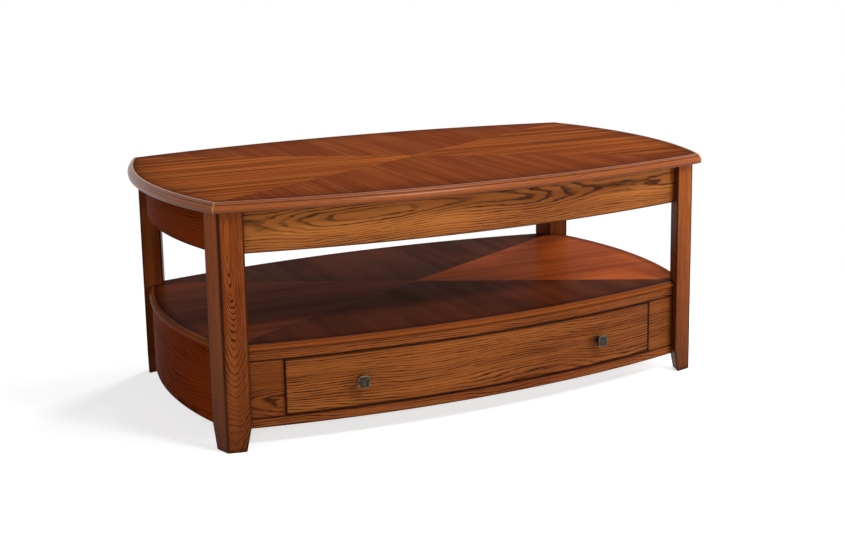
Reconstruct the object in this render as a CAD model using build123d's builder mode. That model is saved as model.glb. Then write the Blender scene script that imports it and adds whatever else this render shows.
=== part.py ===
"""Bow-sided lift top coffee table: frame, lower case with drawer, lift linkage and moulded top.

Millimetres. +Z is up, the front is -Y, +X is to the right. The origin is on the floor under the middle
of the table.
"""

import os
from math import asin, atan2, cos, degrees, hypot, radians, sin, sqrt

from build123d import *

os.makedirs("parts", exist_ok=True)

# Overall form
TOP_LENGTH = 1200.0  # over the moulding, at the middle of the ends
TOP_WIDTH = 746.0  # over the moulding, at the middle of the front and back
HEIGHT = 483.0
FRONT_BOW_RADIUS = 2250.0  # front and back edges of the top
END_BOW_RADIUS = 862.0  # end edges of the top

# Lift-up top
TOP_THICKNESS = 20.0
TOP_EDGE_OUT = 8.0  # moulding beyond the edge of the flat surface
TOP_EDGE_FLAT = 4.0  # flat margin of the moulding strip
TOP_EDGE_NOSE = 13.0  # depth of the widest point below the surface
TOP_EDGE_BEAD = 3.6
TOP_EDGE_QUIRK = 0.9
TOP_CORNER_BLUNT = 1.5  # taken off each corner of the moulding
REST_GAP = 2.0  # between the frame and the closed top
BUMPER_RADIUS = 7.0
BUMPER_CLEARANCE = 0.2

# Legs
LEG_INSET = 18.0  # outer faces behind the outline of the top
LEG_FRONT = 48.0
LEG_SIDE = 46.0
LEG_EASE = 2.5
FOOT_HEIGHT = 50.0
FOOT_TAPER = 9.0

# Bowed boards of the frame and the case
FRAME_INSET = 36.0  # board faces behind the outline of the top
BOARD = 18.0
PANEL = 6.0
PANEL_GROOVE = 6.0  # height of a floor panel above the lower edge of its boards
APRON_HEIGHT = 82.5
CORNER_BLOCK_HEIGHT = 40.0
CORNER_BLOCK_RISE = 15.0
CORNER_BLOCK_REACH = 34.0

# Shelf and lower case
SHELF_HEIGHT = 202.0
SHELF_THICKNESS = 11.5
SHELF_EDGE_OUT = 5.0
SHELF_EDGE_FLAT = 5.0
SHELF_EDGE_NOSE = 7.5
SHELF_EDGE_BEAD = 2.2
SHELF_EDGE_QUIRK = 0.6
SHELF_LIP = 5.0  # shelf edge beyond the faces of the case
CASE_CLEARANCE = 38.5
UPPER_RAIL = 20.0
LOWER_RAIL = 19.0
STILE = 68.0

# Drawer
DRAWER_GAP = 2.0
DRAWER_SIDE = 12.0
DRAWER_BOX_RISE = 7.0  # box above the lower edge of the front
DRAWER_BOX_DROP = 9.0  # box below the upper edge of the front
DRAWER_BOTTOM_RISE = 8.0
DRAWER_BACK_SPACE = 70.0
KNOB_INSET = 145.0
KNOB_HEAD = 24.0
KNOB_HEAD_BACK = 20.0
KNOB_HEAD_DEPTH = 8.0
KNOB_RIM = 1.0  # straight band round the head
KNOB_CROWN = 2.0
KNOB_FACE = 17.0
KNOB_NECK = 13.0
KNOB_BASE_RADIUS = 8.0
KNOB_BASE = 1.0
KNOB_NECK_RADIUS = 6.0

# Drawer slides
SLIDE_SPACE = 12.7
SLIDE_LENGTH = 450.0
SLIDE_SETBACK = 24.0
SLIDE_HEIGHT = 45.0
SLIDE_GAUGE = 1.2
SLIDE_PLAY = 0.6
SLIDE_FLANGE = 8.0
SLIDE_SHORTER = 12.0

# Lift linkage
COMPARTMENT_SIDE = 16.0
COMPARTMENT_SETBACK = 52.0  # storage side inside the leg
PIVOT_SETBACK = 100.0  # first pivot behind the front apron
PIVOT_RISE = 39.5  # first pivot above the storage floor
ARM_LENGTH = 215.0
ARM_HEIGHT = 22.0
ARM_GAUGE = 3.0
ARM_SLOT = 7.0
FRONT_SLOT_SHARE = 0.40  # slot of the front arm, of the arm's length
FRONT_SLOT_PLACE = 0.62  # middle of that slot, of the arm's length
REAR_SLOT_SHARE = 0.60  # slot of the rear arm, of the arm's length
PIVOT_SPACING = 62.0
PIVOT_DROP_DEG = 25.0
PIVOT_RADIUS = 4.0
PIVOT_HEAD_RADIUS = 7.5
PIVOT_HEAD = 3.0
RUNNING_CLEARANCE = 0.06
SIDE_PLAY = 0.4
PLATE_GAUGE = 2.5
PLATE_CORNER = 6.0
PLATE_MARGIN = 18.0
TOP_FLANGE = 30.0
SYNC_BAR_RADIUS = 8.0
SYNC_BAR_REACH = 60.0  # along the arm from its lower pivot
SPRING_CRANK = 24.0
SPRING_CRANK_DEG = 25.0
SPRING_REACH = 86.0
SPRING_RADIUS = 6.0
SPRING_OFFSET = 12.0  # spring axis inside the arms
SPRING_POST_RADIUS = 3.0
SPRING_EAR_RADIUS = 7.0
SPRING_HOOK = 9.0

# Heights worked out from the sizes above
TOP_UNDERSIDE = HEIGHT - TOP_THICKNESS
FRAME_TOP = TOP_UNDERSIDE - REST_GAP
APRON_BOTTOM = FRAME_TOP - APRON_HEIGHT
FLOOR_TOP = APRON_BOTTOM + PANEL_GROOVE + PANEL
SHELF_BOTTOM = SHELF_HEIGHT - SHELF_THICKNESS
OPENING_TOP = SHELF_BOTTOM - UPPER_RAIL
OPENING_BOTTOM = CASE_CLEARANCE + LOWER_RAIL
CASE_FLOOR_TOP = CASE_CLEARANCE + PANEL_GROOVE + PANEL
INNER_INSET = FRAME_INSET + BOARD

# Outward direction of each side of the table, and the quarter that each leg stands in
SIDES = {"front": (0, -1), "back": (0, 1), "left": (-1, 0), "right": (1, 0)}
LEGS = {"front_left": (-1, -1), "front_right": (1, -1), "back_left": (-1, 1), "back_right": (1, 1)}
HANDS = {"left": -1, "right": 1}


def save(part, name):
    """Label one finished piece and write it as its own file."""
    part.label = name
    export_step(part, f"parts/{name}.step")


def bow(side):
    """Radius of a side's outline and the plan centre that it is struck from."""
    nx, ny = SIDES[side]
    if ny:
        return FRONT_BOW_RADIUS, (0, ny * (TOP_WIDTH / 2 - FRONT_BOW_RADIUS))
    return END_BOW_RADIUS, (nx * (TOP_LENGTH / 2 - END_BOW_RADIUS), 0)


def bow_corner(inset):
    """Plan point in the +X +Y quarter where the back and right bows meet, both moved in by inset."""
    r_back, (_, y_back) = bow("back")
    r_right, (x_right, _) = bow("right")
    r_back, r_right = r_back - inset, r_right - inset
    span = hypot(x_right, y_back)
    along = (r_back**2 - r_right**2 + span**2) / (2 * span)
    off = sqrt(r_back**2 - along**2)
    ux, uy = x_right / span, -y_back / span
    return along * ux + off * uy, y_back + along * uy - off * ux


def bow_depth(x, inset):
    """Distance from the table's middle to the front or back bow at a place along the length."""
    radius, (_, centre) = bow("back")
    return centre + sqrt((radius - inset) ** 2 - x**2)


def outline(inset):
    """Face of the bow-sided plan outline, moved in by inset."""
    x, y = bow_corner(inset)
    mid_x, mid_y = TOP_LENGTH / 2 - inset, TOP_WIDTH / 2 - inset
    with BuildSketch() as face:
        with BuildLine():
            ThreePointArc((-x, -y), (0, -mid_y), (x, -y))
            ThreePointArc((x, -y), (mid_x, 0), (x, y))
            ThreePointArc((x, y), (0, mid_y), (-x, y))
            ThreePointArc((-x, y), (-mid_x, 0), (-x, -y))
        make_face()
    return face.sketch


def leg_corners():
    """Plan corners of the +X +Y leg: outer, along the back, inner, along the end."""
    ox, oy = bow_corner(LEG_INSET)
    back_radius, _ = bow("back")
    end_radius, _ = bow("right")
    back_turn = asin(ox / (back_radius - LEG_INSET)) - LEG_FRONT / 2 / back_radius
    end_turn = asin(oy / (end_radius - LEG_INSET)) - LEG_SIDE / 2 / end_radius
    ax, ay = ox - LEG_FRONT * cos(back_turn), oy + LEG_FRONT * sin(back_turn)
    bx, by = ox + LEG_SIDE * sin(end_turn), oy - LEG_SIDE * cos(end_turn)
    return (ox, oy), (ax, ay), (ax + bx - ox, ay + by - oy), (bx, by)


LEG_OUTER, LEG_BACK, LEG_INNER, LEG_END = leg_corners()
LEG_MIDDLE = ((LEG_OUTER[0] + LEG_INNER[0]) / 2, (LEG_OUTER[1] + LEG_INNER[1]) / 2)


def leg_section(quarter):
    """The four plan corners of a leg in its own quarter."""
    sx, sy = quarter
    return [(sx * x, sy * y) for x, y in (LEG_OUTER, LEG_BACK, LEG_INNER, LEG_END)]


def leg_faces(quarter):
    """The two inner leg faces, each as a plan point on it and its unit normal out of the leg."""
    sx, sy = quarter
    faces = []
    for x, y in (LEG_BACK, LEG_END):
        run_x, run_y = LEG_INNER[0] - x, LEG_INNER[1] - y
        length = hypot(run_x, run_y)
        nx, ny = run_y / length, -run_x / length
        if nx * (x - LEG_OUTER[0]) + ny * (y - LEG_OUTER[1]) < 0:
            nx, ny = -nx, -ny
        faces.append(((sx * x, sy * y), (sx * nx, sy * ny)))
    return faces


def leg_planes(side):
    """Upright planes on the two leg faces that close a side, facing the space between those legs."""
    face_number = 0 if SIDES[side][1] else 1
    planes = []
    for quarter in LEGS.values():
        if quarter[0] == SIDES[side][0] or quarter[1] == SIDES[side][1]:
            (x, y), (nx, ny) = leg_faces(quarter)[face_number]
            planes.append(Plane(origin=(x, y, 0), x_dir=(-ny, nx, 0), z_dir=(nx, ny, 0)))
    return planes


def leg_space(side):
    """Plan corners of the strip of floor between the two legs that stand at a side."""
    sx, sy = SIDES[side]
    if sy:
        slope = (LEG_INNER[0] - LEG_BACK[0]) / (LEG_INNER[1] - LEG_BACK[1])
        near, far = LEG_INNER[1] - BOARD, TOP_WIDTH / 2
        near_x, far_x = (LEG_BACK[0] + slope * (y - LEG_BACK[1]) for y in (near, far))
        return [(-far_x, sy * far), (far_x, sy * far), (near_x, sy * near), (-near_x, sy * near)]
    slope = (LEG_INNER[1] - LEG_END[1]) / (LEG_INNER[0] - LEG_END[0])
    near, far = LEG_INNER[0] - BOARD, TOP_LENGTH / 2
    near_y, far_y = (LEG_END[1] + slope * (x - LEG_END[0]) for x in (near, far))
    return [(sx * far, -far_y), (sx * far, far_y), (sx * near, near_y), (sx * near, -near_y)]


def bowed_board(side):
    """Plan face of a board of constant thickness that follows one bow and butts against two legs."""
    with BuildSketch() as face:
        add(outline(FRAME_INSET))
        add(outline(INNER_INSET), mode=Mode.SUBTRACT)
        Polygon(*leg_space(side), align=None, mode=Mode.INTERSECT)
    return face.sketch


def floor_panel(inset):
    """Plan face of a panel that fills the outline and is notched round the four legs."""
    with BuildSketch() as face:
        add(outline(inset))
        for quarter in LEGS.values():
            Polygon(*leg_section(quarter), align=None, mode=Mode.SUBTRACT)
    return face.sketch


def mitre_planes(side, width):
    """Upright planes through the two mitres of a side's edge strip, facing the middle of that side."""
    nx, ny = SIDES[side]
    out_x, out_y = bow_corner(0)
    in_x, in_y = bow_corner(width)
    planes = []
    for end in (-1, 1):
        sx, sy = (end, ny) if ny else (nx, end)
        run_x, run_y = sx * (out_x - in_x), sy * (out_y - in_y)
        facing_x, facing_y = run_y, -run_x
        if facing_x * nx + facing_y * ny < 0:
            facing_x, facing_y = -facing_x, -facing_y
        corner = (sx * out_x, sy * out_y, 0)
        planes.append(Plane(origin=corner, x_dir=(run_x, run_y, 0), z_dir=(facing_x, facing_y, 0)))
    return planes


def bow_axis(side):
    """Upright axis that a side's bow is struck from."""
    _, (cx, cy) = bow(side)
    return Axis((cx, cy, 0), (0, 0, 1))


def bow_sweep(side):
    """Half angle, in degrees, that takes a side's revolved strip past the corners of the table."""
    overrun = 2.0
    radius, _ = bow(side)
    x, y = bow_corner(0)
    return degrees(asin((x if SIDES[side][1] else y) / radius)) + overrun


def profile_plane(side):
    """Upright plane at one end of a side's sweep: local X is the radius of the bow, local Y is the height."""
    nx, ny = SIDES[side]
    _, (cx, cy) = bow(side)
    start = atan2(ny, nx) - radians(bow_sweep(side))
    out_x, out_y = cos(start), sin(start)
    return Plane(origin=(cx, cy, 0), x_dir=(out_x, out_y, 0), z_dir=(out_y, -out_x, 0))


def edge_profile(nose_radius, height, thickness, out, flat, nose, bead, quirk):
    """Section of an edge strip: flat margin, planed bead, quirk, and an ovolo tucked in below its nose."""
    edge = nose_radius - out
    step = edge + bead
    bead_end = height - quirk - bead
    ovolo_top = bead_end - quirk
    nose_height = height - nose
    bottom = height - thickness
    bead_flats = [radians(turn) for turn in (0, 30, 60, 90)]
    drop = ovolo_top - nose_height
    ovolo_radius = ((nose_radius - step) ** 2 + drop**2) / (2 * (nose_radius - step))
    half_turn = asin(drop / ovolo_radius) / 2
    ovolo_middle = (
        nose_radius - ovolo_radius * (1 - cos(half_turn)),
        nose_height + ovolo_radius * sin(half_turn),
    )
    with BuildSketch() as face:
        with BuildLine():
            Polyline((edge - flat, bottom), (edge - flat, height), (edge, height), (edge, height - quirk))
            Polyline(*[(edge + bead * sin(turn), bead_end + bead * cos(turn)) for turn in bead_flats])
            Line((step, bead_end), (step, ovolo_top))
            ThreePointArc((step, ovolo_top), ovolo_middle, (nose_radius, nose_height))
            Polyline((nose_radius, nose_height), (nose_radius - quirk, bottom), (edge - flat, bottom))
        make_face()
    return face.sketch


def rod(x_from, x_to, point, radius, mode=Mode.ADD):
    """Round bar along X through a point of the side view."""
    y, z = point
    with Locations(((x_from + x_to) / 2, y, z)):
        Cylinder(radius, abs(x_to - x_from), rotation=(0, 90, 0), mode=mode)


# Legs: four-sided posts whose outer faces follow the bows, with the inner faces tapered at the foot
for name, quarter in LEGS.items():
    with BuildPart() as leg:
        with BuildSketch() as section:
            Polygon(*leg_section(quarter), align=None)
            fillet(section.vertices(), LEG_EASE)
        extrude(amount=FRAME_TOP)
        for (x, y), (nx, ny) in leg_faces(quarter):
            foot = Plane(
                origin=(x - FOOT_TAPER * nx, y - FOOT_TAPER * ny, 0),
                x_dir=(-ny, nx, 0),
                z_dir=(-nx, -ny, FOOT_TAPER / FOOT_HEIGHT),
            )
            split(bisect_by=foot, keep=Keep.TOP)
    save(leg.part, f"leg_{name}")

# Aprons under the top
for side in SIDES:
    with BuildPart() as apron:
        with BuildSketch(Plane.XY.offset(APRON_BOTTOM)):
            add(bowed_board(side))
        extrude(amount=APRON_HEIGHT)
    save(apron.part, f"apron_{side}")

# Floor and side boards of the storage space
with BuildPart() as compartment_floor:
    with BuildSketch(Plane.XY.offset(FLOOR_TOP - PANEL)):
        add(floor_panel(INNER_INSET))
    extrude(amount=PANEL)
save(compartment_floor.part, "compartment_floor")

STORAGE_X = LEG_BACK[0] - COMPARTMENT_SETBACK
for hand, sx in HANDS.items():
    with BuildPart() as compartment_side:
        with BuildSketch(Plane.XY.offset(FLOOR_TOP)):
            with Locations((sx * (STORAGE_X + COMPARTMENT_SIDE / 2), 0)):
                Rectangle(COMPARTMENT_SIDE, TOP_WIDTH)
            add(outline(INNER_INSET), mode=Mode.INTERSECT)
        extrude(amount=FRAME_TOP - FLOOR_TOP)
    save(compartment_side.part, f"compartment_side_{hand}")

# Glued blocks that brace the legs to the aprons
with BuildPart() as corner_blocks:
    with BuildSketch(Plane.XY.offset(FLOOR_TOP + CORNER_BLOCK_RISE)):
        for sx, sy in LEGS.values():
            with Locations((sx * LEG_INNER[0], sy * LEG_INNER[1])):
                Rectangle(2 * CORNER_BLOCK_REACH, 2 * CORNER_BLOCK_REACH, rotation=45)
        add(floor_panel(INNER_INSET), mode=Mode.INTERSECT)
    extrude(amount=CORNER_BLOCK_HEIGHT)
save(corner_blocks.part, "corner_blocks")

# Rubber buttons on the legs that the closed top rests on
with BuildPart() as top_bumpers:
    with BuildSketch(Plane.XY.offset(FRAME_TOP)):
        with Locations(*[(sx * LEG_MIDDLE[0], sy * LEG_MIDDLE[1]) for sx, sy in LEGS.values()]):
            Circle(BUMPER_RADIUS)
    extrude(amount=REST_GAP - BUMPER_CLEARANCE)
save(top_bumpers.part, "top_bumpers")

# Shelf with its moulded edges, which is also the top of the lower case
SHELF_INSET = FRAME_INSET - SHELF_LIP
with BuildPart() as shelf_panel:
    with BuildSketch(Plane.XY.offset(SHELF_BOTTOM)):
        add(floor_panel(SHELF_INSET + SHELF_EDGE_OUT + SHELF_EDGE_FLAT))
    extrude(amount=SHELF_THICKNESS)
save(shelf_panel.part, "shelf_panel")

for side in SIDES:
    with BuildPart() as shelf_edge:
        with BuildSketch(profile_plane(side)):
            nose_radius = bow(side)[0] - SHELF_INSET
            run = SHELF_THICKNESS, SHELF_EDGE_OUT, SHELF_EDGE_FLAT, SHELF_EDGE_NOSE
            add(edge_profile(nose_radius, SHELF_HEIGHT, *run, SHELF_EDGE_BEAD, SHELF_EDGE_QUIRK))
        revolve(axis=bow_axis(side), revolution_arc=2 * bow_sweep(side))
        for plane in leg_planes(side):
            split(bisect_by=plane, keep=Keep.TOP)
    save(shelf_edge.part, f"shelf_edge_{side}")

# Lower case: bowed back and sides, a rail above and below the drawer, a stile at each end of it
for side in ("back", "left", "right"):
    with BuildPart() as case_board:
        with BuildSketch(Plane.XY.offset(CASE_CLEARANCE)):
            add(bowed_board(side))
        extrude(amount=SHELF_BOTTOM - CASE_CLEARANCE)
    save(case_board.part, f"case_{side}")

for name, bottom, width in (("upper", OPENING_TOP, UPPER_RAIL), ("lower", CASE_CLEARANCE, LOWER_RAIL)):
    with BuildPart() as rail:
        with BuildSketch(Plane.XY.offset(bottom)):
            add(bowed_board("front"))
        extrude(amount=width)
    save(rail.part, f"rail_{name}")

OPENING_X = LEG_BACK[0] - STILE
for hand, sx in HANDS.items():
    with BuildPart() as stile:
        with BuildSketch(Plane.XY.offset(OPENING_BOTTOM)):
            add(bowed_board("front"))
            with Locations((sx * (OPENING_X + TOP_LENGTH / 2), 0)):
                Rectangle(TOP_LENGTH, TOP_WIDTH, mode=Mode.INTERSECT)
        extrude(amount=OPENING_TOP - OPENING_BOTTOM)
    save(stile.part, f"stile_{hand}")

with BuildPart() as case_bottom:
    with BuildSketch(Plane.XY.offset(CASE_FLOOR_TOP - PANEL)):
        add(floor_panel(INNER_INSET))
    extrude(amount=PANEL)
save(case_bottom.part, "case_bottom")

for hand, sx in HANDS.items():
    with BuildPart() as runner_panel:
        with BuildSketch(Plane.XY.offset(CASE_FLOOR_TOP)):
            with Locations((sx * (OPENING_X + COMPARTMENT_SIDE / 2), 0)):
                Rectangle(COMPARTMENT_SIDE, TOP_WIDTH)
            add(outline(INNER_INSET), mode=Mode.INTERSECT)
        extrude(amount=SHELF_BOTTOM - CASE_FLOOR_TOP)
    save(runner_panel.part, f"runner_panel_{hand}")

# Drawer: bowed front, straight box, two square-headed knobs
DRAWER_X = OPENING_X - DRAWER_GAP
DRAWER_BOTTOM = OPENING_BOTTOM + DRAWER_GAP
DRAWER_TOP = OPENING_TOP - DRAWER_GAP
BOX_X = OPENING_X - SLIDE_SPACE
BOX_BOTTOM = DRAWER_BOTTOM + DRAWER_BOX_RISE
BOX_TOP = DRAWER_TOP - DRAWER_BOX_DROP
BOX_BACK = bow_depth(BOX_X, INNER_INSET) - DRAWER_BACK_SPACE
KNOB_X = DRAWER_X - KNOB_INSET
DRAWER_MIDDLE = (DRAWER_BOTTOM + DRAWER_TOP) / 2

with BuildPart() as drawer_front:
    with BuildSketch(Plane.XY.offset(DRAWER_BOTTOM)):
        add(bowed_board("front"))
        Rectangle(2 * DRAWER_X, TOP_WIDTH, mode=Mode.INTERSECT)
    extrude(amount=DRAWER_TOP - DRAWER_BOTTOM)
save(drawer_front.part, "drawer_front")

for hand, sx in HANDS.items():
    with BuildPart() as drawer_side:
        with BuildSketch(Plane.XY.offset(BOX_BOTTOM)):
            with Locations((sx * (BOX_X - DRAWER_SIDE / 2), BOX_BACK)):
                Rectangle(DRAWER_SIDE, TOP_WIDTH, align=(Align.CENTER, Align.MAX))
            add(outline(INNER_INSET), mode=Mode.INTERSECT)
        extrude(amount=BOX_TOP - BOX_BOTTOM)
    save(drawer_side.part, f"drawer_side_{hand}")

with BuildPart() as drawer_back:
    with BuildSketch(Plane.XY.offset(BOX_BOTTOM)):
        with Locations((0, BOX_BACK)):
            Rectangle(2 * (BOX_X - DRAWER_SIDE), DRAWER_SIDE, align=(Align.CENTER, Align.MAX))
    extrude(amount=BOX_TOP - BOX_BOTTOM)
save(drawer_back.part, "drawer_back")

with BuildPart() as drawer_bottom:
    with BuildSketch(Plane.XY.offset(BOX_BOTTOM + DRAWER_BOTTOM_RISE)):
        with Locations((0, BOX_BACK - DRAWER_SIDE)):
            Rectangle(2 * (BOX_X - DRAWER_SIDE), TOP_WIDTH, align=(Align.CENTER, Align.MAX))
        add(outline(INNER_INSET), mode=Mode.INTERSECT)
    extrude(amount=PANEL)
save(drawer_bottom.part, "drawer_bottom")

for hand, sx in HANDS.items():
    turn = asin(KNOB_X / (FRONT_BOW_RADIUS - FRAME_INSET))
    seat = Plane(
        origin=(sx * KNOB_X, -bow_depth(KNOB_X, FRAME_INSET), DRAWER_MIDDLE),
        x_dir=(cos(turn), sx * sin(turn), 0),
        z_dir=(sx * sin(turn), -cos(turn), 0),
    )
    axis = Axis(seat.origin, seat.z_dir)
    neck_end = KNOB_BASE + KNOB_BASE_RADIUS - KNOB_NECK_RADIUS
    with BuildPart() as knob:
        with BuildSketch(seat.offset(KNOB_NECK)):
            Rectangle(KNOB_HEAD, KNOB_HEAD)
        extrude(amount=KNOB_HEAD_DEPTH + KNOB_CROWN)
        crown = knob.faces().sort_by(axis)[-1]
        chamfer(crown.edges(), (KNOB_HEAD - KNOB_FACE) / 2, KNOB_CROWN, reference=crown)
        back = knob.faces().sort_by(axis)[0]
        chamfer(back.edges(), (KNOB_HEAD - KNOB_HEAD_BACK) / 2, KNOB_HEAD_DEPTH - KNOB_RIM, reference=back)
        with BuildSketch(Plane(origin=seat.origin, x_dir=seat.x_dir, z_dir=-seat.y_dir)):
            with BuildLine():
                Polyline((0, 0), (KNOB_BASE_RADIUS, 0), (KNOB_BASE_RADIUS, KNOB_BASE))
                Line((KNOB_BASE_RADIUS, KNOB_BASE), (KNOB_NECK_RADIUS, neck_end))
                Polyline((KNOB_NECK_RADIUS, neck_end), (KNOB_NECK_RADIUS, KNOB_NECK), (0, KNOB_NECK), (0, 0))
            make_face()
        revolve(axis=axis)
    save(knob.part, f"knob_{hand}")

# Three-part drawer slides: the case member holds the middle one, which holds the drawer member
SLIDE_FRONT = SLIDE_SETBACK - bow_depth(OPENING_X, INNER_INSET)
SLIDE_PLANE = Plane.XZ.offset(-SLIDE_FRONT)
MIDDLE_HEIGHT = SLIDE_HEIGHT - 2 * (SLIDE_GAUGE + SLIDE_PLAY)
INNER_HEIGHT = MIDDLE_HEIGHT - 2 * (SLIDE_GAUGE + SLIDE_PLAY)
CASE_WEB = OPENING_X
MIDDLE_WEB = CASE_WEB - SLIDE_GAUGE - SLIDE_PLAY
DRAWER_WEB = BOX_X


def channel(x_back, x_lips, height):
    """Section of a folded channel: its web at one X, its lips ending at another."""
    width = abs(x_lips - x_back)
    inward = 1 if x_lips > x_back else -1
    with BuildSketch() as face:
        with Locations(((x_back + x_lips) / 2, DRAWER_MIDDLE)):
            Rectangle(width, height)
        with Locations(((x_back + x_lips) / 2 + inward * SLIDE_GAUGE, DRAWER_MIDDLE)):
            Rectangle(width, height - 2 * SLIDE_GAUGE, mode=Mode.SUBTRACT)
    return face.sketch


for hand, sx in HANDS.items():
    with BuildPart() as slide_case:
        with BuildSketch(SLIDE_PLANE):
            add(channel(sx * CASE_WEB, sx * (CASE_WEB - SLIDE_FLANGE), SLIDE_HEIGHT))
        extrude(amount=-SLIDE_LENGTH)
    save(slide_case.part, f"slide_case_{hand}")

    with BuildPart() as slide_middle:
        with BuildSketch(SLIDE_PLANE):
            add(channel(sx * MIDDLE_WEB, sx * (MIDDLE_WEB - SLIDE_FLANGE), MIDDLE_HEIGHT))
        extrude(amount=SLIDE_SHORTER - SLIDE_LENGTH)
    save(slide_middle.part, f"slide_middle_{hand}")

    with BuildPart() as slide_drawer:
        with BuildSketch(SLIDE_PLANE):
            add(channel(sx * DRAWER_WEB, sx * (DRAWER_WEB + SLIDE_FLANGE), INNER_HEIGHT))
        extrude(amount=-SLIDE_LENGTH)
    save(slide_drawer.part, f"slide_drawer_{hand}")

# Side view of the lift linkage, as (Y, Z) points: two lower pivots, two upper ones and the spring's ends
LOWER_FRONT = (PIVOT_SETBACK - bow_depth(STORAGE_X, INNER_INSET), FLOOR_TOP + PIVOT_RISE)
LOWER_REAR = (
    LOWER_FRONT[0] + PIVOT_SPACING * cos(radians(PIVOT_DROP_DEG)),
    LOWER_FRONT[1] - PIVOT_SPACING * sin(radians(PIVOT_DROP_DEG)),
)
UPPER_FRONT = (LOWER_FRONT[0] + ARM_LENGTH, LOWER_FRONT[1])
UPPER_REAR = (LOWER_REAR[0] + ARM_LENGTH, LOWER_REAR[1])
SPRING_MOVING = (
    LOWER_FRONT[0] + SPRING_CRANK * cos(radians(SPRING_CRANK_DEG)),
    LOWER_FRONT[1] + SPRING_CRANK * sin(radians(SPRING_CRANK_DEG)),
)
SPRING_FIXED = (LOWER_FRONT[0] - SPRING_REACH, SPRING_MOVING[1])
SYNC_BAR = (LOWER_FRONT[0] + SYNC_BAR_REACH, LOWER_FRONT[1])

# The same linkage across the table: half widths at which each layer lies
PLATE_INNER = STORAGE_X - PLATE_GAUGE
HANGER_OUTER = STORAGE_X - SIDE_PLAY
HANGER_INNER = HANGER_OUTER - PLATE_GAUGE
REAR_ARM_OUTER = HANGER_INNER - SIDE_PLAY
REAR_ARM_INNER = REAR_ARM_OUTER - ARM_GAUGE
FRONT_ARM_OUTER = REAR_ARM_INNER - SIDE_PLAY
FRONT_ARM_INNER = FRONT_ARM_OUTER - ARM_GAUGE
SPRING_X = FRONT_ARM_INNER - SPRING_OFFSET
POST_END = SPRING_X - SPRING_RADIUS

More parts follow.
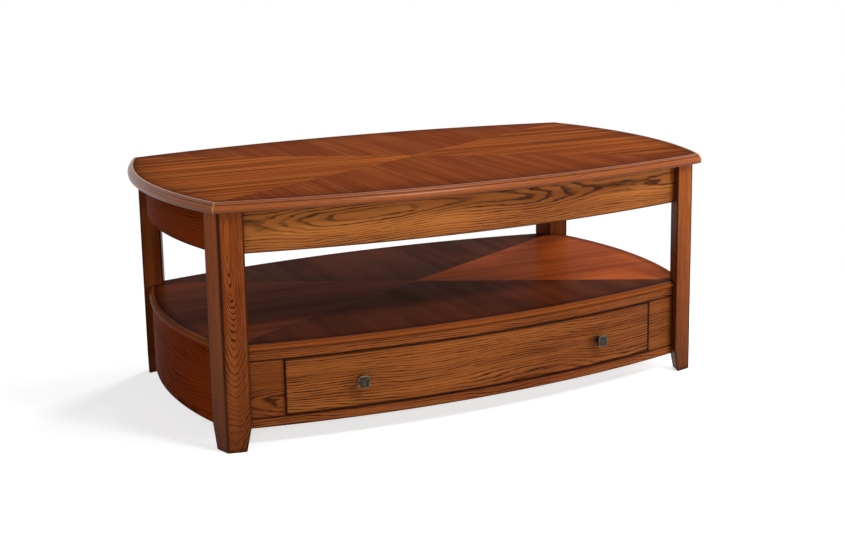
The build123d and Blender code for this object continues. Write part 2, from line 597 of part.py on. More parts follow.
for hand, sx in HANDS.items():
    base_front, base_back = SPRING_FIXED[0] - PLATE_MARGIN / 2, LOWER_REAR[0] + PLATE_MARGIN
    base_bottom, base_top = FLOOR_TOP, SPRING_FIXED[1] + PLATE_MARGIN / 2
    with BuildPart() as lift_base:
        with BuildSketch(Plane.YZ.offset(sx * STORAGE_X)):
            with Locations(((base_front + base_back) / 2, (base_bottom + base_top) / 2)):
                RectangleRounded(base_back - base_front, base_top - base_bottom, PLATE_CORNER)
            with Locations(LOWER_FRONT, LOWER_REAR):
                Circle(PIVOT_RADIUS, mode=Mode.SUBTRACT)
        extrude(amount=-sx * PLATE_GAUGE)
        rod(sx * PLATE_INNER, sx * POST_END, SPRING_FIXED, SPRING_POST_RADIUS)
    save(lift_base.part, f"lift_base_{hand}")

    with BuildPart() as front_arm:
        with BuildSketch(Plane.YZ.offset(sx * FRONT_ARM_OUTER)):
            with Locations((LOWER_FRONT[0] + ARM_LENGTH / 2, LOWER_FRONT[1])):
                SlotCenterToCenter(ARM_LENGTH, ARM_HEIGHT)
            with Locations(SPRING_MOVING):
                Circle(SPRING_EAR_RADIUS)
            with Locations((LOWER_FRONT[0] + FRONT_SLOT_PLACE * ARM_LENGTH, LOWER_FRONT[1])):
                SlotCenterToCenter(FRONT_SLOT_SHARE * ARM_LENGTH, ARM_SLOT, mode=Mode.SUBTRACT)
            with Locations(LOWER_FRONT, UPPER_FRONT):
                Circle(PIVOT_RADIUS + RUNNING_CLEARANCE, mode=Mode.SUBTRACT)
        extrude(amount=-sx * ARM_GAUGE)
        rod(sx * FRONT_ARM_INNER, sx * POST_END, SPRING_MOVING, SPRING_POST_RADIUS)
    save(front_arm.part, f"front_arm_{hand}")

    with BuildPart() as rear_arm:
        with BuildSketch(Plane.YZ.offset(sx * REAR_ARM_OUTER)):
            with Locations((LOWER_REAR[0] + ARM_LENGTH / 2, LOWER_REAR[1])):
                SlotCenterToCenter(ARM_LENGTH, ARM_HEIGHT)
                SlotCenterToCenter(REAR_SLOT_SHARE * ARM_LENGTH, ARM_SLOT, mode=Mode.SUBTRACT)
            with Locations(LOWER_REAR, UPPER_REAR):
                Circle(PIVOT_RADIUS + RUNNING_CLEARANCE, mode=Mode.SUBTRACT)
        extrude(amount=-sx * ARM_GAUGE)
    save(rear_arm.part, f"rear_arm_{hand}")

    hanger_front, hanger_back = UPPER_FRONT[0] - PLATE_MARGIN, UPPER_REAR[0] + PLATE_MARGIN
    hanger_bottom = UPPER_REAR[1] - ARM_HEIGHT / 2
    with BuildPart() as lift_hanger:
        with BuildSketch(Plane.YZ.offset(sx * HANGER_OUTER)):
            with Locations(((hanger_front + hanger_back) / 2, TOP_UNDERSIDE)):
                Rectangle(
                    hanger_back - hanger_front, TOP_UNDERSIDE - hanger_bottom, align=(Align.CENTER, Align.MAX)
                )
            with Locations(UPPER_FRONT, UPPER_REAR):
                Circle(PIVOT_RADIUS, mode=Mode.SUBTRACT)
        extrude(amount=-sx * PLATE_GAUGE)
        with BuildSketch(Plane.XY.offset(TOP_UNDERSIDE)):
            with Locations((sx * (HANGER_OUTER - TOP_FLANGE / 2), (hanger_front + hanger_back) / 2)):
                Rectangle(TOP_FLANGE, hanger_back - hanger_front)
        extrude(amount=-PLATE_GAUGE)
    save(lift_hanger.part, f"lift_hanger_{hand}")

    spring_front, spring_back = SPRING_FIXED[0] + SPRING_HOOK, SPRING_MOVING[0] - SPRING_HOOK
    with BuildPart() as lift_spring:
        with BuildSketch(Plane.XZ.offset(-spring_front)):
            with Locations((sx * SPRING_X, SPRING_FIXED[1])):
                Circle(SPRING_RADIUS)
        extrude(amount=spring_front - spring_back)
        with BuildSketch(Plane.YZ.offset(sx * SPRING_X)):
            for (y, z), toward in ((SPRING_FIXED, 1), (SPRING_MOVING, -1)):
                with Locations((y + toward * SPRING_HOOK / 2, z)):
                    Rectangle(SPRING_HOOK, 2 * SPRING_POST_RADIUS)
                with Locations((y, z)):
                    Circle(2 * SPRING_POST_RADIUS)
                    Circle(SPRING_POST_RADIUS + SIDE_PLAY, mode=Mode.SUBTRACT)
        extrude(amount=SPRING_POST_RADIUS / 3, both=True)
    save(lift_spring.part, f"lift_spring_{hand}")

with BuildPart() as sync_bar:
    rod(-FRONT_ARM_INNER, FRONT_ARM_INNER, SYNC_BAR, SYNC_BAR_RADIUS)
save(sync_bar.part, "sync_bar")

# Shouldered pivot pins: the lower ones are riveted to the base plates, the upper ones to the hangers
with BuildPart() as lower_pins:
    for sx in HANDS.values():
        for point, outer, inner in (
            (LOWER_FRONT, FRONT_ARM_OUTER, FRONT_ARM_INNER),
            (LOWER_REAR, REAR_ARM_OUTER, REAR_ARM_INNER),
        ):
            rod(sx * STORAGE_X, sx * (inner - SIDE_PLAY), point, PIVOT_RADIUS)
            rod(sx * PLATE_INNER, sx * (outer + SIDE_PLAY), point, PIVOT_HEAD_RADIUS)
            rod(sx * (inner - SIDE_PLAY), sx * (inner - SIDE_PLAY - PIVOT_HEAD), point, PIVOT_HEAD_RADIUS)
save(lower_pins.part, "lower_pins")

with BuildPart() as upper_pins:
    for sx in HANDS.values():
        for point, inner in ((UPPER_FRONT, FRONT_ARM_INNER), (UPPER_REAR, REAR_ARM_INNER)):
            rod(sx * HANGER_OUTER, sx * (inner - SIDE_PLAY), point, PIVOT_RADIUS)
            rod(sx * (inner - SIDE_PLAY), sx * (inner - SIDE_PLAY - PIVOT_HEAD), point, PIVOT_HEAD_RADIUS)
        rod(sx * HANGER_INNER, sx * (FRONT_ARM_OUTER + SIDE_PLAY), UPPER_FRONT, PIVOT_HEAD_RADIUS)
save(upper_pins.part, "upper_pins")

# Top: veneered panel and four mitred edge strips
TOP_EDGE_WIDTH = TOP_EDGE_OUT + TOP_EDGE_FLAT
with BuildPart() as top_panel:
    with BuildSketch(Plane.XY.offset(TOP_UNDERSIDE)):
        add(outline(TOP_EDGE_WIDTH))
    extrude(amount=TOP_THICKNESS)
save(top_panel.part, "top_panel")

for side in SIDES:
    with BuildPart() as top_edge:
        with BuildSketch(profile_plane(side)):
            nose_radius = bow(side)[0]
            run = TOP_THICKNESS, TOP_EDGE_OUT, TOP_EDGE_FLAT, TOP_EDGE_NOSE
            add(edge_profile(nose_radius, HEIGHT, *run, TOP_EDGE_BEAD, TOP_EDGE_QUIRK))
        revolve(axis=bow_axis(side), revolution_arc=2 * bow_sweep(side))
        for plane in mitre_planes(side, TOP_EDGE_WIDTH):
            split(bisect_by=plane, keep=Keep.TOP)
            blunt = plane.origin - plane.x_dir * TOP_CORNER_BLUNT
            split(bisect_by=Plane(origin=blunt, x_dir=plane.z_dir, z_dir=-plane.x_dir), keep=Keep.TOP)
    save(top_edge.part, f"top_edge_{side}")
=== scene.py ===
"""Bow-sided lift top coffee table in stained oak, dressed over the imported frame.

Metres. +Z is up, the front is -Y, +X is to the right, and the origin is on the floor under the table.
"""

import bpy
import numpy as np
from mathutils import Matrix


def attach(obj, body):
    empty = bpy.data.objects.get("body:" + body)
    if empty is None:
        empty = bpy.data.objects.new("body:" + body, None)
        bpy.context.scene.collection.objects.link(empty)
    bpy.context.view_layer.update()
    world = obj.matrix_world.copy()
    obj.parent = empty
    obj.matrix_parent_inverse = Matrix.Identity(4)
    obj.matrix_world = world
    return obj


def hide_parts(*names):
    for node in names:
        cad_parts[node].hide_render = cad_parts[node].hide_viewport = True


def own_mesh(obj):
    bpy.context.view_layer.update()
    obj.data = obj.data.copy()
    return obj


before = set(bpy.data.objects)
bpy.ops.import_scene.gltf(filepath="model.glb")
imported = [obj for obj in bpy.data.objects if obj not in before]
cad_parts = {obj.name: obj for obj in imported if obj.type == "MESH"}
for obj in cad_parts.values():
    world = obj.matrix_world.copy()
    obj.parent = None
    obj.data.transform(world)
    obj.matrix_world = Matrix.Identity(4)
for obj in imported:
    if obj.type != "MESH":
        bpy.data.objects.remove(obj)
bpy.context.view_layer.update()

# Legs: four solid oak posts whose outer faces lie along the two bows that meet at their corner, with eased
# arrises and two tapered foot faces. They are stained red-brown, and dark glaze is left along every arris. The
# inner face of each post is darker, partly a darker glaze and partly painted shade, and the posts grow darker
# towards the floor.
TOP_LENGTH, TOP_WIDTH = 1.200, 0.746
FRONT_BOW, END_BOW = 2.250, 0.862
LEG_INSET, LEG_FRONT, LEG_SIDE, LEG_EASE = 0.018, 0.048, 0.046, 0.0025
FRAME_TOP = 0.461
LEG_END_EASE, LEG_GLAZED_END = 0.0012, 0.004
FOOT_HEIGHT, FOOT_TAPER = 0.050, 0.009
FOOT_DARKENING, FOOT_DARKENING_HEIGHT, FOOT_BLACK_HEIGHT, INNER_GLAZE_AND_SHADE = 0.75, 0.36, 0.008, 0.45
QUARTERS = {"front_left": (-1, -1), "front_right": (1, -1), "back_left": (-1, 1), "back_right": (1, 1)}


def bow_corner(inset):
    """Plan point where the back and right bows cross, both moved in by inset: two circles intersected."""
    back, right = FRONT_BOW - inset, END_BOW - inset
    back_y, right_x = TOP_WIDTH / 2 - FRONT_BOW, TOP_LENGTH / 2 - END_BOW
    span = np.hypot(right_x, back_y)
    along = (back**2 - right**2 + span**2) / (2 * span)
    off = np.sqrt(back**2 - along**2)
    ux, uy = right_x / span, -back_y / span
    return np.array([along * ux + off * uy, back_y + along * uy - off * ux])


def leg_directions():
    """Outer corner of the +X +Y leg and the unit directions of its two outer faces, along the back and the end.
    Each is the chord of its bow at the middle of the face."""
    corner = bow_corner(LEG_INSET)
    back = np.arcsin(corner[0] / (FRONT_BOW - LEG_INSET)) - LEG_FRONT / 2 / FRONT_BOW
    end = np.arcsin(corner[1] / (END_BOW - LEG_INSET)) - LEG_SIDE / 2 / END_BOW
    return corner, np.array([-np.cos(back), np.sin(back)]), np.array([np.sin(end), -np.cos(end)])


def eased(corners, radius, segments=4, shoulder=0.003):
    """Loop round a polygon with each corner rounded: the arc between the two tangent points, and a shoulder
    point on either side of it. Also gives a mark that is 1 on the arcs and 0 on the shoulders."""
    corners = np.asarray(corners, float)
    before = np.roll(corners, 1, axis=0) - corners
    after = np.roll(corners, -1, axis=0) - corners
    before /= np.linalg.norm(before, axis=1, keepdims=True)
    after /= np.linalg.norm(after, axis=1, keepdims=True)
    half = np.arccos((before * after).sum(1)) / 2
    tangent = (radius / np.tan(half))[:, None]
    middle = before + after
    middle *= (radius / np.sin(half) / np.linalg.norm(middle, axis=1))[:, None]
    centre = corners + middle
    first, last = corners + before * tangent, corners + after * tangent
    turn = (np.pi - 2 * half)[:, None, None]
    share = np.linspace(0, 1, segments + 1)[None, :, None]
    arc = np.sin((1 - share) * turn) * (first - centre)[:, None] + np.sin(share * turn) * (last - centre)[:, None]
    arc = arc / np.sin(turn) + centre[:, None]
    loop = np.concatenate([(first + before * shoulder)[:, None], arc, (last + after * shoulder)[:, None]], axis=1)
    mark = np.tile(np.r_[0.0, np.ones(segments + 1), 0.0], len(corners))
    return loop.reshape(-1, 2), mark


def put_together(piece, body, node):
    """Links a finished piece, fixes it to its body and lets it stand for its CAD node."""
    bpy.context.scene.collection.objects.link(piece)
    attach(piece, body)
    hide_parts(node)


def skin(name, rows, u, v, glaze, figure, finish, sharp=35):
    """Closed skin over a grid of points: equal loops, one per row, joined by quads, with a face across each end.
    U and V are the grain map in metres; they have one more column than the grid, because the loop closes."""
    n, m = rows.shape[:2]
    at = np.arange(n * m).reshape(n, m)
    beside = np.roll(at, -1, axis=1)
    quads = np.stack([at[:-1], beside[:-1], beside[1:], at[1:]], axis=-1).reshape(-1, 4)
    mesh = bpy.data.meshes.new(name)
    mesh.from_pydata(rows.reshape(-1, 3).tolist(), [], quads.tolist() + [at[0, ::-1].tolist(), at[-1].tolist()])
    grain = np.stack(np.broadcast_arrays(u, v), axis=-1)
    ends = np.concatenate([grain[0, :m][::-1], grain[-1, :m]])
    corners = np.stack([grain[:-1, :-1], grain[:-1, 1:], grain[1:, 1:], grain[1:, :-1]], axis=2)
    grain_map = mesh.uv_layers.new(name="grain")
    grain_map.data.foreach_set("uv", np.concatenate([corners.reshape(-1, 2), ends]).astype(np.float32).ravel())
    for label, values in (("glaze", glaze), ("figure", figure)):
        layer = mesh.attributes.new(label, "FLOAT", "POINT")
        layer.data.foreach_set("value", np.broadcast_to(values, (n, m)).astype(np.float32).ravel())
    mesh.polygons.foreach_set("use_smooth", np.ones(len(mesh.polygons), bool))
    mesh.set_sharp_from_angle(angle=float(np.radians(sharp)))
    mesh.materials.append(finish)
    return bpy.data.objects.new(name, mesh)


def stain(red, green, blue):
    """Scene-linear colour of a finish sample written as 8-bit sRGB: each share of 255 to the power of 2.2."""
    return (*(float(x) for x in (np.array([red, green, blue]) / 255) ** 2.2), 1.0)


def shader(tree, kind, sockets, out=0, **options):
    """Adds one shader node, sets its options, wires or sets the given sockets, and gives one output."""
    node = tree.nodes.new("ShaderNode" + kind)
    for option, value in options.items():
        setattr(node, option, value)
    for key, value in sockets.items():
        if isinstance(value, bpy.types.NodeSocket):
            tree.links.new(value, node.inputs[key])
        else:
            node.inputs[key].default_value = value
    return node.outputs[out]


def reckon(tree, operation, *terms):
    """One sum on shader values."""
    return shader(tree, "Math", dict(enumerate(terms)), operation=operation)


def fade(tree, value, low, high, start=0.0, end=1.0):
    """Smooth step from start to end while a value goes from low to high."""
    return shader(tree, "MapRange", {0: value, 1: low, 2: high, 3: start, 4: end}, interpolation_type="SMOOTHSTEP")


def wash(tree, share, under, over):
    """One colour laid over another by a share."""
    return shader(tree, "Mix", {0: share, 6: under, 7: over}, out=2, data_type="RGBA")


def streaks(tree, grain, along, across, detail=2.0, rough=0.5):
    """Noise drawn out along the grain: the map is scaled by along and across before it is read."""
    scaled = shader(tree, "VectorMath", {0: grain, 1: (along, across, 1.0)}, operation="MULTIPLY")
    sockets = {"Vector": scaled, "Scale": 1.0, "Detail": detail, "Roughness": rough}
    return shader(tree, "TexNoise", sockets, noise_dimensions="2D")


def finish_of(name):
    """An empty node material."""
    material = bpy.data.materials.new(name)
    material.use_nodes = True
    material.node_tree.nodes.clear()
    return material, material.node_tree


def lacquer(tree, colour, roughness, height=None, depth=0.0, **sockets):
    """Closes a finish: one principled shader, with a bump of the given depth if it has one, wired to the output."""
    wired = {"Base Color": colour, "Roughness": roughness} | {key.replace("_", " "): x for key, x in sockets.items()}
    if depth:
        wired["Normal"] = shader(tree, "Bump", {"Strength": 1.0, "Distance": depth, "Height": height})
    surface = shader(tree, "BsdfPrincipled", wired)
    tree.links.new(surface, tree.nodes.new("ShaderNodeOutputMaterial").inputs[0])


def oak(name, off, depth, swing, pace, ring, gold, brown, dark, specular=0.06, gloss=0.42):
    """Sawn oak read from the grain map. A growth ring is a circle about the pith, so its radius at a point is the
    root of the squared distance across the face from the pith's line plus the squared depth of the pith. That depth
    swings along the board, which draws the arched figure. Early wood takes the stain dark, in short pores. Glaze
    below 0 lays a pale colour over the wood: a painted highlight, used on the mitres of the top's strips."""
    material, tree = finish_of(name)
    grain = shader(tree, "UVMap", {}, uv_map="grain")
    split = tree.nodes.new("ShaderNodeSeparateXYZ")
    tree.links.new(grain, split.inputs[0])
    along, across = split.outputs[0], split.outputs[1]
    swell = shader(tree, "TexNoise", {"W": along, "Scale": pace, "Detail": 1.5}, noise_dimensions="1D")
    pith = reckon(tree, "MULTIPLY_ADD", reckon(tree, "SUBTRACT", swell, 0.5), 2 * swing, depth)
    drift = streaks(tree, grain, 2.2, 7.0, 1.0)
    aside = reckon(tree, "MULTIPLY_ADD", reckon(tree, "SUBTRACT", drift, 0.5), 0.05, reckon(tree, "ADD", across, off))
    squared = reckon(tree, "ADD", reckon(tree, "MULTIPLY", aside, aside), reckon(tree, "MULTIPLY", pith, pith))
    wander = reckon(tree, "SUBTRACT", streaks(tree, grain, 11.0, 60.0, 2.0), 0.5)
    radius = reckon(tree, "MULTIPLY_ADD", wander, 1.3 * ring, reckon(tree, "SQRT", squared))
    rings = reckon(tree, "DIVIDE", radius, ring)
    place = reckon(tree, "FRACT", rings)
    year = shader(tree, "TexWhiteNoise", {"W": reckon(tree, "FLOOR", rings)}, noise_dimensions="1D")
    early = reckon(tree, "MULTIPLY", fade(tree, place, 0.0, 0.08), fade(tree, place, 0.16, 0.56, 1.0, 0.0))
    early = reckon(tree, "MULTIPLY", early, reckon(tree, "MULTIPLY_ADD", year, 0.75, 0.45))
    pores = fade(tree, streaks(tree, grain, 40.0, 1300.0, 2.0, 0.6), 0.48, 0.66)
    flecks = fade(tree, streaks(tree, grain, 24.0, 420.0, 2.0, 0.6), 0.42, 0.62)
    patch = fade(tree, streaks(tree, grain, 4.0, 24.0, 2.0), 0.36, 0.64)
    marked = shader(tree, "Attribute", {}, out=2, attribute_name="figure")
    porous = reckon(tree, "MULTIPLY", early, reckon(tree, "MULTIPLY_ADD", flecks, 0.50, 0.60))
    porous = reckon(tree, "MULTIPLY", porous, reckon(tree, "MULTIPLY_ADD", patch, 0.70, 0.62))
    porous = reckon(tree, "MULTIPLY_ADD", reckon(tree, "MULTIPLY", flecks, patch), 0.14, porous)
    lines = reckon(tree, "MULTIPLY_ADD", pores, 0.12, porous)
    lines = reckon(tree, "MULTIPLY", lines, marked)
    tone = fade(tree, streaks(tree, grain, 2.0, 70.0, 3.0), 0.33, 0.67)
    warm = fade(tree, streaks(tree, grain, 1.6, 9.0, 1.0), 0.35, 0.65)
    ground = wash(tree, reckon(tree, "MULTIPLY_ADD", tone, 0.40, reckon(tree, "MULTIPLY", warm, 0.40)), gold, brown)
    plain = reckon(tree, "SUBTRACT", 1.0, marked)
    ground = wash(tree, reckon(tree, "MULTIPLY", plain, 1.1), ground, brown)
    colour = wash(tree, reckon(tree, "MINIMUM", lines, 0.94), ground, dark)
    glazed = shader(tree, "Attribute", {}, out=2, attribute_name="glaze")
    colour = wash(tree, reckon(tree, "MULTIPLY", glazed, 0.82), colour, stain(30, 13, 8))
    # Glaze below 0 lays a pale colour over: a painted highlight.
    colour = wash(tree, reckon(tree, "MULTIPLY", glazed, -1.0), colour, stain(232, 190, 130))
    rough = reckon(tree, "MULTIPLY_ADD", lines, 0.12, gloss)
    lacquer(tree, colour, rough, reckon(tree, "MULTIPLY", lines, -1.0), 0.00012, Specular_IOR_Level=specular)
    return material


def around(loop):
    """Distance round a closed loop at each of its points, and once more where it closes."""
    return np.r_[0, np.cumsum(np.linalg.norm(np.diff(np.r_[loop, loop[:1]], axis=0), axis=1))]


leg_oak = oak("leg_oak", off=0.0, depth=0.030, swing=0.055, pace=1.6, ring=0.0024,
              gold=stain(170, 93, 45), brown=stain(128, 61, 30), dark=stain(62, 32, 19))
leg_corner, leg_back, leg_end = leg_directions()
leg_skew = leg_back[0] * leg_end[1] - leg_back[1] * leg_end[0]
leg_heights = np.r_[0, 0.0015, LEG_GLAZED_END, np.linspace(0.01, FOOT_HEIGHT, 7),
                    np.linspace(0.06, FRAME_TOP - LEG_GLAZED_END, 40), FRAME_TOP - LEG_END_EASE, FRAME_TOP]
foot_cut = FOOT_TAPER / leg_skew * np.clip(1 - leg_heights / FOOT_HEIGHT, 0, 1)
end_ease = LEG_END_EASE * ((leg_heights == 0) + (leg_heights == FRAME_TOP))
# The posts darken towards the floor, to near black in the lowest 8 mm.
foot_dark = np.clip(1 - leg_heights / FOOT_BLACK_HEIGHT, 0, 1)
foot_dark += FOOT_DARKENING * np.clip(1 - leg_heights / FOOT_DARKENING_HEIGHT, 0, 1)
# Each blank's place up the tree, the pith's line across its bowed face, and the strength of figure on that face and
# on the other three.
LEG_BLANKS = ((8.55, 0.006, 0.95, 0.7), (11.25, 0.07, 1.0, 0.7), (13.95, 0.05, 0.8, 0.95), (16.65, 0.05, 0.8, 0.95))
for (quarter, (sx, sy)), (up_tree, pith_line, bow_figure, side_figure) in zip(QUARTERS.items(), LEG_BLANKS):
    plan, mark = eased([(0, 0), (LEG_FRONT, 0), (LEG_FRONT, LEG_SIDE), (0, LEG_SIDE)], LEG_EASE)
    order = slice(None, None, sx * sy)
    plan, mark = plan[order], mark[order]
    half = np.sign(plan - (LEG_FRONT / 2, LEG_SIDE / 2))
    taper = plan - half * end_ease[:, None, None] - (half > 0) * foot_cut[:, None, None]
    points = (leg_corner + taper[..., :1] * leg_back + taper[..., 1:] * leg_end) * (sx, sy)
    rows = np.dstack([points, np.broadcast_to(leg_heights[:, None], points.shape[:2])])
    # Inner face: darker, partly a darker glaze and partly painted shade.
    inner_glaze_and_shade = INNER_GLAZE_AND_SHADE * (plan[:, 0] > LEG_FRONT - 1e-6)
    glaze = np.maximum(np.maximum(mark, inner_glaze_and_shade), np.minimum(foot_dark, 1)[:, None])
    on_bow = plan[:, 1] < 1e-6
    girth = around(plan)
    across = girth - girth[:-1][on_bow].mean() + pith_line
    leg = skin(f"post_{quarter}", rows, leg_heights[:, None] + up_tree, across, glaze,
               np.where(on_bow, bow_figure, side_figure), leg_oak)
    put_together(leg, "frame", f"leg_{quarter}")


# Aprons: four boards steam-bent to the bows and tenoned between the legs under the lift-up top. The front one
# is flat-sawn and boldly figured, the other three are plainer and redder.
FRAME_INSET, BOARD = 0.036, 0.018
APRON_BOTTOM = 0.3785
SIDES = {"front": (0, -1), "back": (0, 1), "left": (-1, 0), "right": (1, 0)}


def bow_of(side):
    """Radius of a side's bow and the place of its centre along the side's outward direction."""
    if SIDES[side][1]:
        return FRONT_BOW, TOP_WIDTH / 2 - FRONT_BOW
    return END_BOW, TOP_LENGTH / 2 - END_BOW


def turned(side, across, outward):
    """Plan points of a side from its own axes: a quarter turn, or none, takes them to the table's axes."""
    nx, ny = SIDES[side]
    return np.stack([ny * across + nx * outward, -nx * across + ny * outward], axis=-1)


def leg_line(side):
    """The leg face that closes a side, in the side's own axes: a point on it and its normal away from the middle."""
    foot, along = (leg_back * LEG_FRONT, leg_end) if SIDES[side][1] else (leg_end * LEG_SIDE, leg_back)
    point, normal = leg_corner + foot, np.array([along[1], -along[0]])
    if not SIDES[side][1]:
        point, normal = point[::-1], normal[::-1]
    return point, normal * np.sign(normal[0])


def swing_to(side, radius, line):
    """Angle from the middle of a bow at which circles of the given radii meet a line: the line's distance from
    the bow's centre, over the radius, is the cosine of the angle from the line's normal."""
    point, normal = line
    gap = normal @ (point - np.array([0, bow_of(side)[1]]))
    return np.arctan2(normal[0], normal[1]) - np.arccos(gap / radius / np.linalg.norm(normal))


def bowed(name, side, section, mark, first, last, seed, figure, finish, steps=64, mirrored=False, ends=1.0):
    """Profile carried along a bow. The section is (inset from the table's outline, height), counter-clockwise
    with the outer face going up; each of its points runs on its own circle between two end angles. Close to the
    ends the glaze goes over to theirs."""
    bow, centre = bow_of(side)
    radius = bow - section[:, 0]
    start = swing_to(side, radius, first) if first else -swing_to(side, radius, last)
    stop = swing_to(side, radius, last)
    if mirrored:
        start, stop = -stop, -start
    length = bow * (stop - start).mean()
    burnt_run, calm_run = 0.0035, 0.006
    near_end = np.array([0.0, burnt_run, calm_run]) / length
    share = np.r_[near_end, np.linspace(0.01, 0.99, steps), 1 - near_end[::-1]][:, None]
    swing = start + (stop - start) * share
    rows = np.dstack([turned(side, radius * np.sin(swing), centre + radius * np.cos(swing)),
                      np.broadcast_to(section[:, 1], swing.shape)])
    burnt = np.clip(1 - np.minimum(share, 1 - share) * length / burnt_run, 0, 1)
    girth = around(section)
    middle = (section[:, 1].min() + section[:, 1].max()) / 2
    outer = np.argmin(section[:, 0] + abs(section[:, 1] - middle))
    u = bow * swing
    u = np.c_[u, u[:, :1]] + seed
    v = girth - girth[outer] - (middle - section[outer, 1])
    return skin(name, rows, u, v, mark + (ends - mark) * burnt, figure, finish)


def plank(inset, thickness, bottom, top, ease=0.0012):
    """Section of a board with eased arrises."""
    inner = inset + thickness
    return eased([(inset, bottom), (inset, top), (inner, top), (inner, bottom)], ease, segments=3, shoulder=0.0025)


figured_oak = oak("figured_oak", off=-0.020, depth=0.036, swing=0.034, pace=1.3, ring=0.0040,
                  gold=stain(174, 105, 52), brown=stain(128, 70, 36), dark=stain(62, 38, 27))
plain_oak = oak("plain_oak", off=0.070, depth=0.030, swing=0.030, pace=1.2, ring=0.0060,
                gold=stain(136, 59, 25), brown=stain(113, 47, 19), dark=stain(56, 25, 13), specular=0.0015)
for number, side in enumerate(SIDES):
    section, mark = plank(FRAME_INSET, BOARD, APRON_BOTTOM, FRAME_TOP)
    figure, finish = (1.0, figured_oak) if side == "front" else (0.6, plain_oak)
    apron = bowed(f"apron_board_{side}", side, section, mark, None, leg_line(side),
                  seed=42.5 + 3.1 * number, figure=figure, finish=finish)
    put_together(apron, "frame", f"apron_{side}")

# Storage space under the top: a floor panel and two side boards of stained plywood, fixed between the aprons, and
# glued blocks that brace the legs. Four rubber buttons on the leg tops take the closed top.


def plywood(name, pale, deep, along):
    """Plain sliced veneer read from object coordinates: noise drawn out along the sheet, fine pores over it."""
    material, tree = finish_of(name)
    place = tree.nodes.new("ShaderNodeTexCoord").outputs["Object"]
    scales = np.where(np.array(along), 2.0, 55.0)
    broad = shader(tree, "VectorMath", {0: place, 1: tuple(scales)}, operation="MULTIPLY")
    fine = shader(tree, "VectorMath", {0: place, 1: tuple(scales * np.where(along, 12.0, 16.0))}, operation="MULTIPLY")
    tone = shader(tree, "TexNoise", {"Vector": broad, "Scale": 1.0, "Detail": 3.0})
    pores = fade(tree, shader(tree, "TexNoise", {"Vector": fine, "Scale": 1.0, "Detail": 2.0}), 0.52, 0.72)
    share = reckon(tree, "MULTIPLY_ADD", pores, 0.25, fade(tree, tone, 0.3, 0.75, 0.0, 0.75))
    colour = wash(tree, share, pale, deep)
    rough = reckon(tree, "MULTIPLY_ADD", share, 0.15, 0.48)
    lacquer(tree, colour, rough, reckon(tree, "MULTIPLY", pores, -1.0), 0.0001, Specular_IOR_Level=0.3)
    return material


def coat(finish, *nodes):
    """Gives CAD nodes that keep their own shape a finish."""
    for node in nodes:
        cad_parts[node].material_slots[0].material = finish


lining = plywood("storage_lining", stain(128, 72, 40), stain(84, 42, 24), (True, False, False))
coat(lining, "compartment_floor", "compartment_side_left", "compartment_side_right", "corner_blocks")

rubber, tree = finish_of("button_rubber")
place = tree.nodes.new("ShaderNodeTexCoord").outputs["Object"]
speck = shader(tree, "TexNoise", {"Vector": place, "Scale": 900.0, "Detail": 2.0})
colour = wash(tree, speck, stain(26, 25, 24), stain(44, 42, 40))
lacquer(tree, colour, fade(tree, speck, 0.3, 0.7, 0.6, 0.8), speck, 0.0002)
coat(rubber, "top_bumpers")

# Shelf: a veneered panel in four matched quarters, notched round the legs, inside four beaded oak strips that
# overhang the lower case.
SHELF_BOTTOM, SHELF_TOP, SHELF_INSET = 0.1905, 0.2020, 0.031
SHELF_EDGE_OUT, SHELF_EDGE_FLAT = 0.005, 0.005
SHELF_NOSE, SHELF_BEAD, SHELF_QUIRK = 0.0075, 0.0022, 0.0006
LEAF_WIDTH = 0.13


def bead_and_ovolo(inset, top, thickness, out, flat, nose, bead, quirk):
    """Section of an edge strip as (inset, height): up from an eased lower arris to the nose, round the ovolo on
    one circle that is upright at the nose, over a quarter-round bead between two quirks, and in along the flat."""
    edge, bottom, nose_height = inset + out, top - thickness, top - nose
    step, bead_end = edge - bead, top - quirk - bead
    ovolo_top = bead_end - quirk
    drop, rise = ovolo_top - nose_height, step - inset
    ovolo = (rise**2 + drop**2) / (2 * rise)
    turn = np.linspace(0, np.arcsin(drop / ovolo), 9)
    quarter = np.linspace(0, np.pi / 2, 8)
    arris = np.linspace(np.pi / 2, 0, 4)
    lower_ease = 0.0006
    round_in = quirk + lower_ease
    points = np.concatenate([
        [(edge + flat, bottom)],
        np.c_[inset + quirk + round_in * (1 - np.cos(arris)), bottom + round_in * (1 - np.sin(arris))],
        np.c_[inset + ovolo * (1 - np.cos(turn)), nose_height + ovolo * np.sin(turn)],
        np.c_[edge - bead * np.cos(quarter), bead_end + bead * np.sin(quarter)],
        [(edge, top), (edge + 0.4 * flat, top), (edge + flat, top)],
    ])
    mark = np.r_[0.6, np.full(4, 0.6), np.zeros(8), 0.9, 0.9, np.zeros(6), 0.9, 0.5, 0.0, 0.0]
    return points, mark


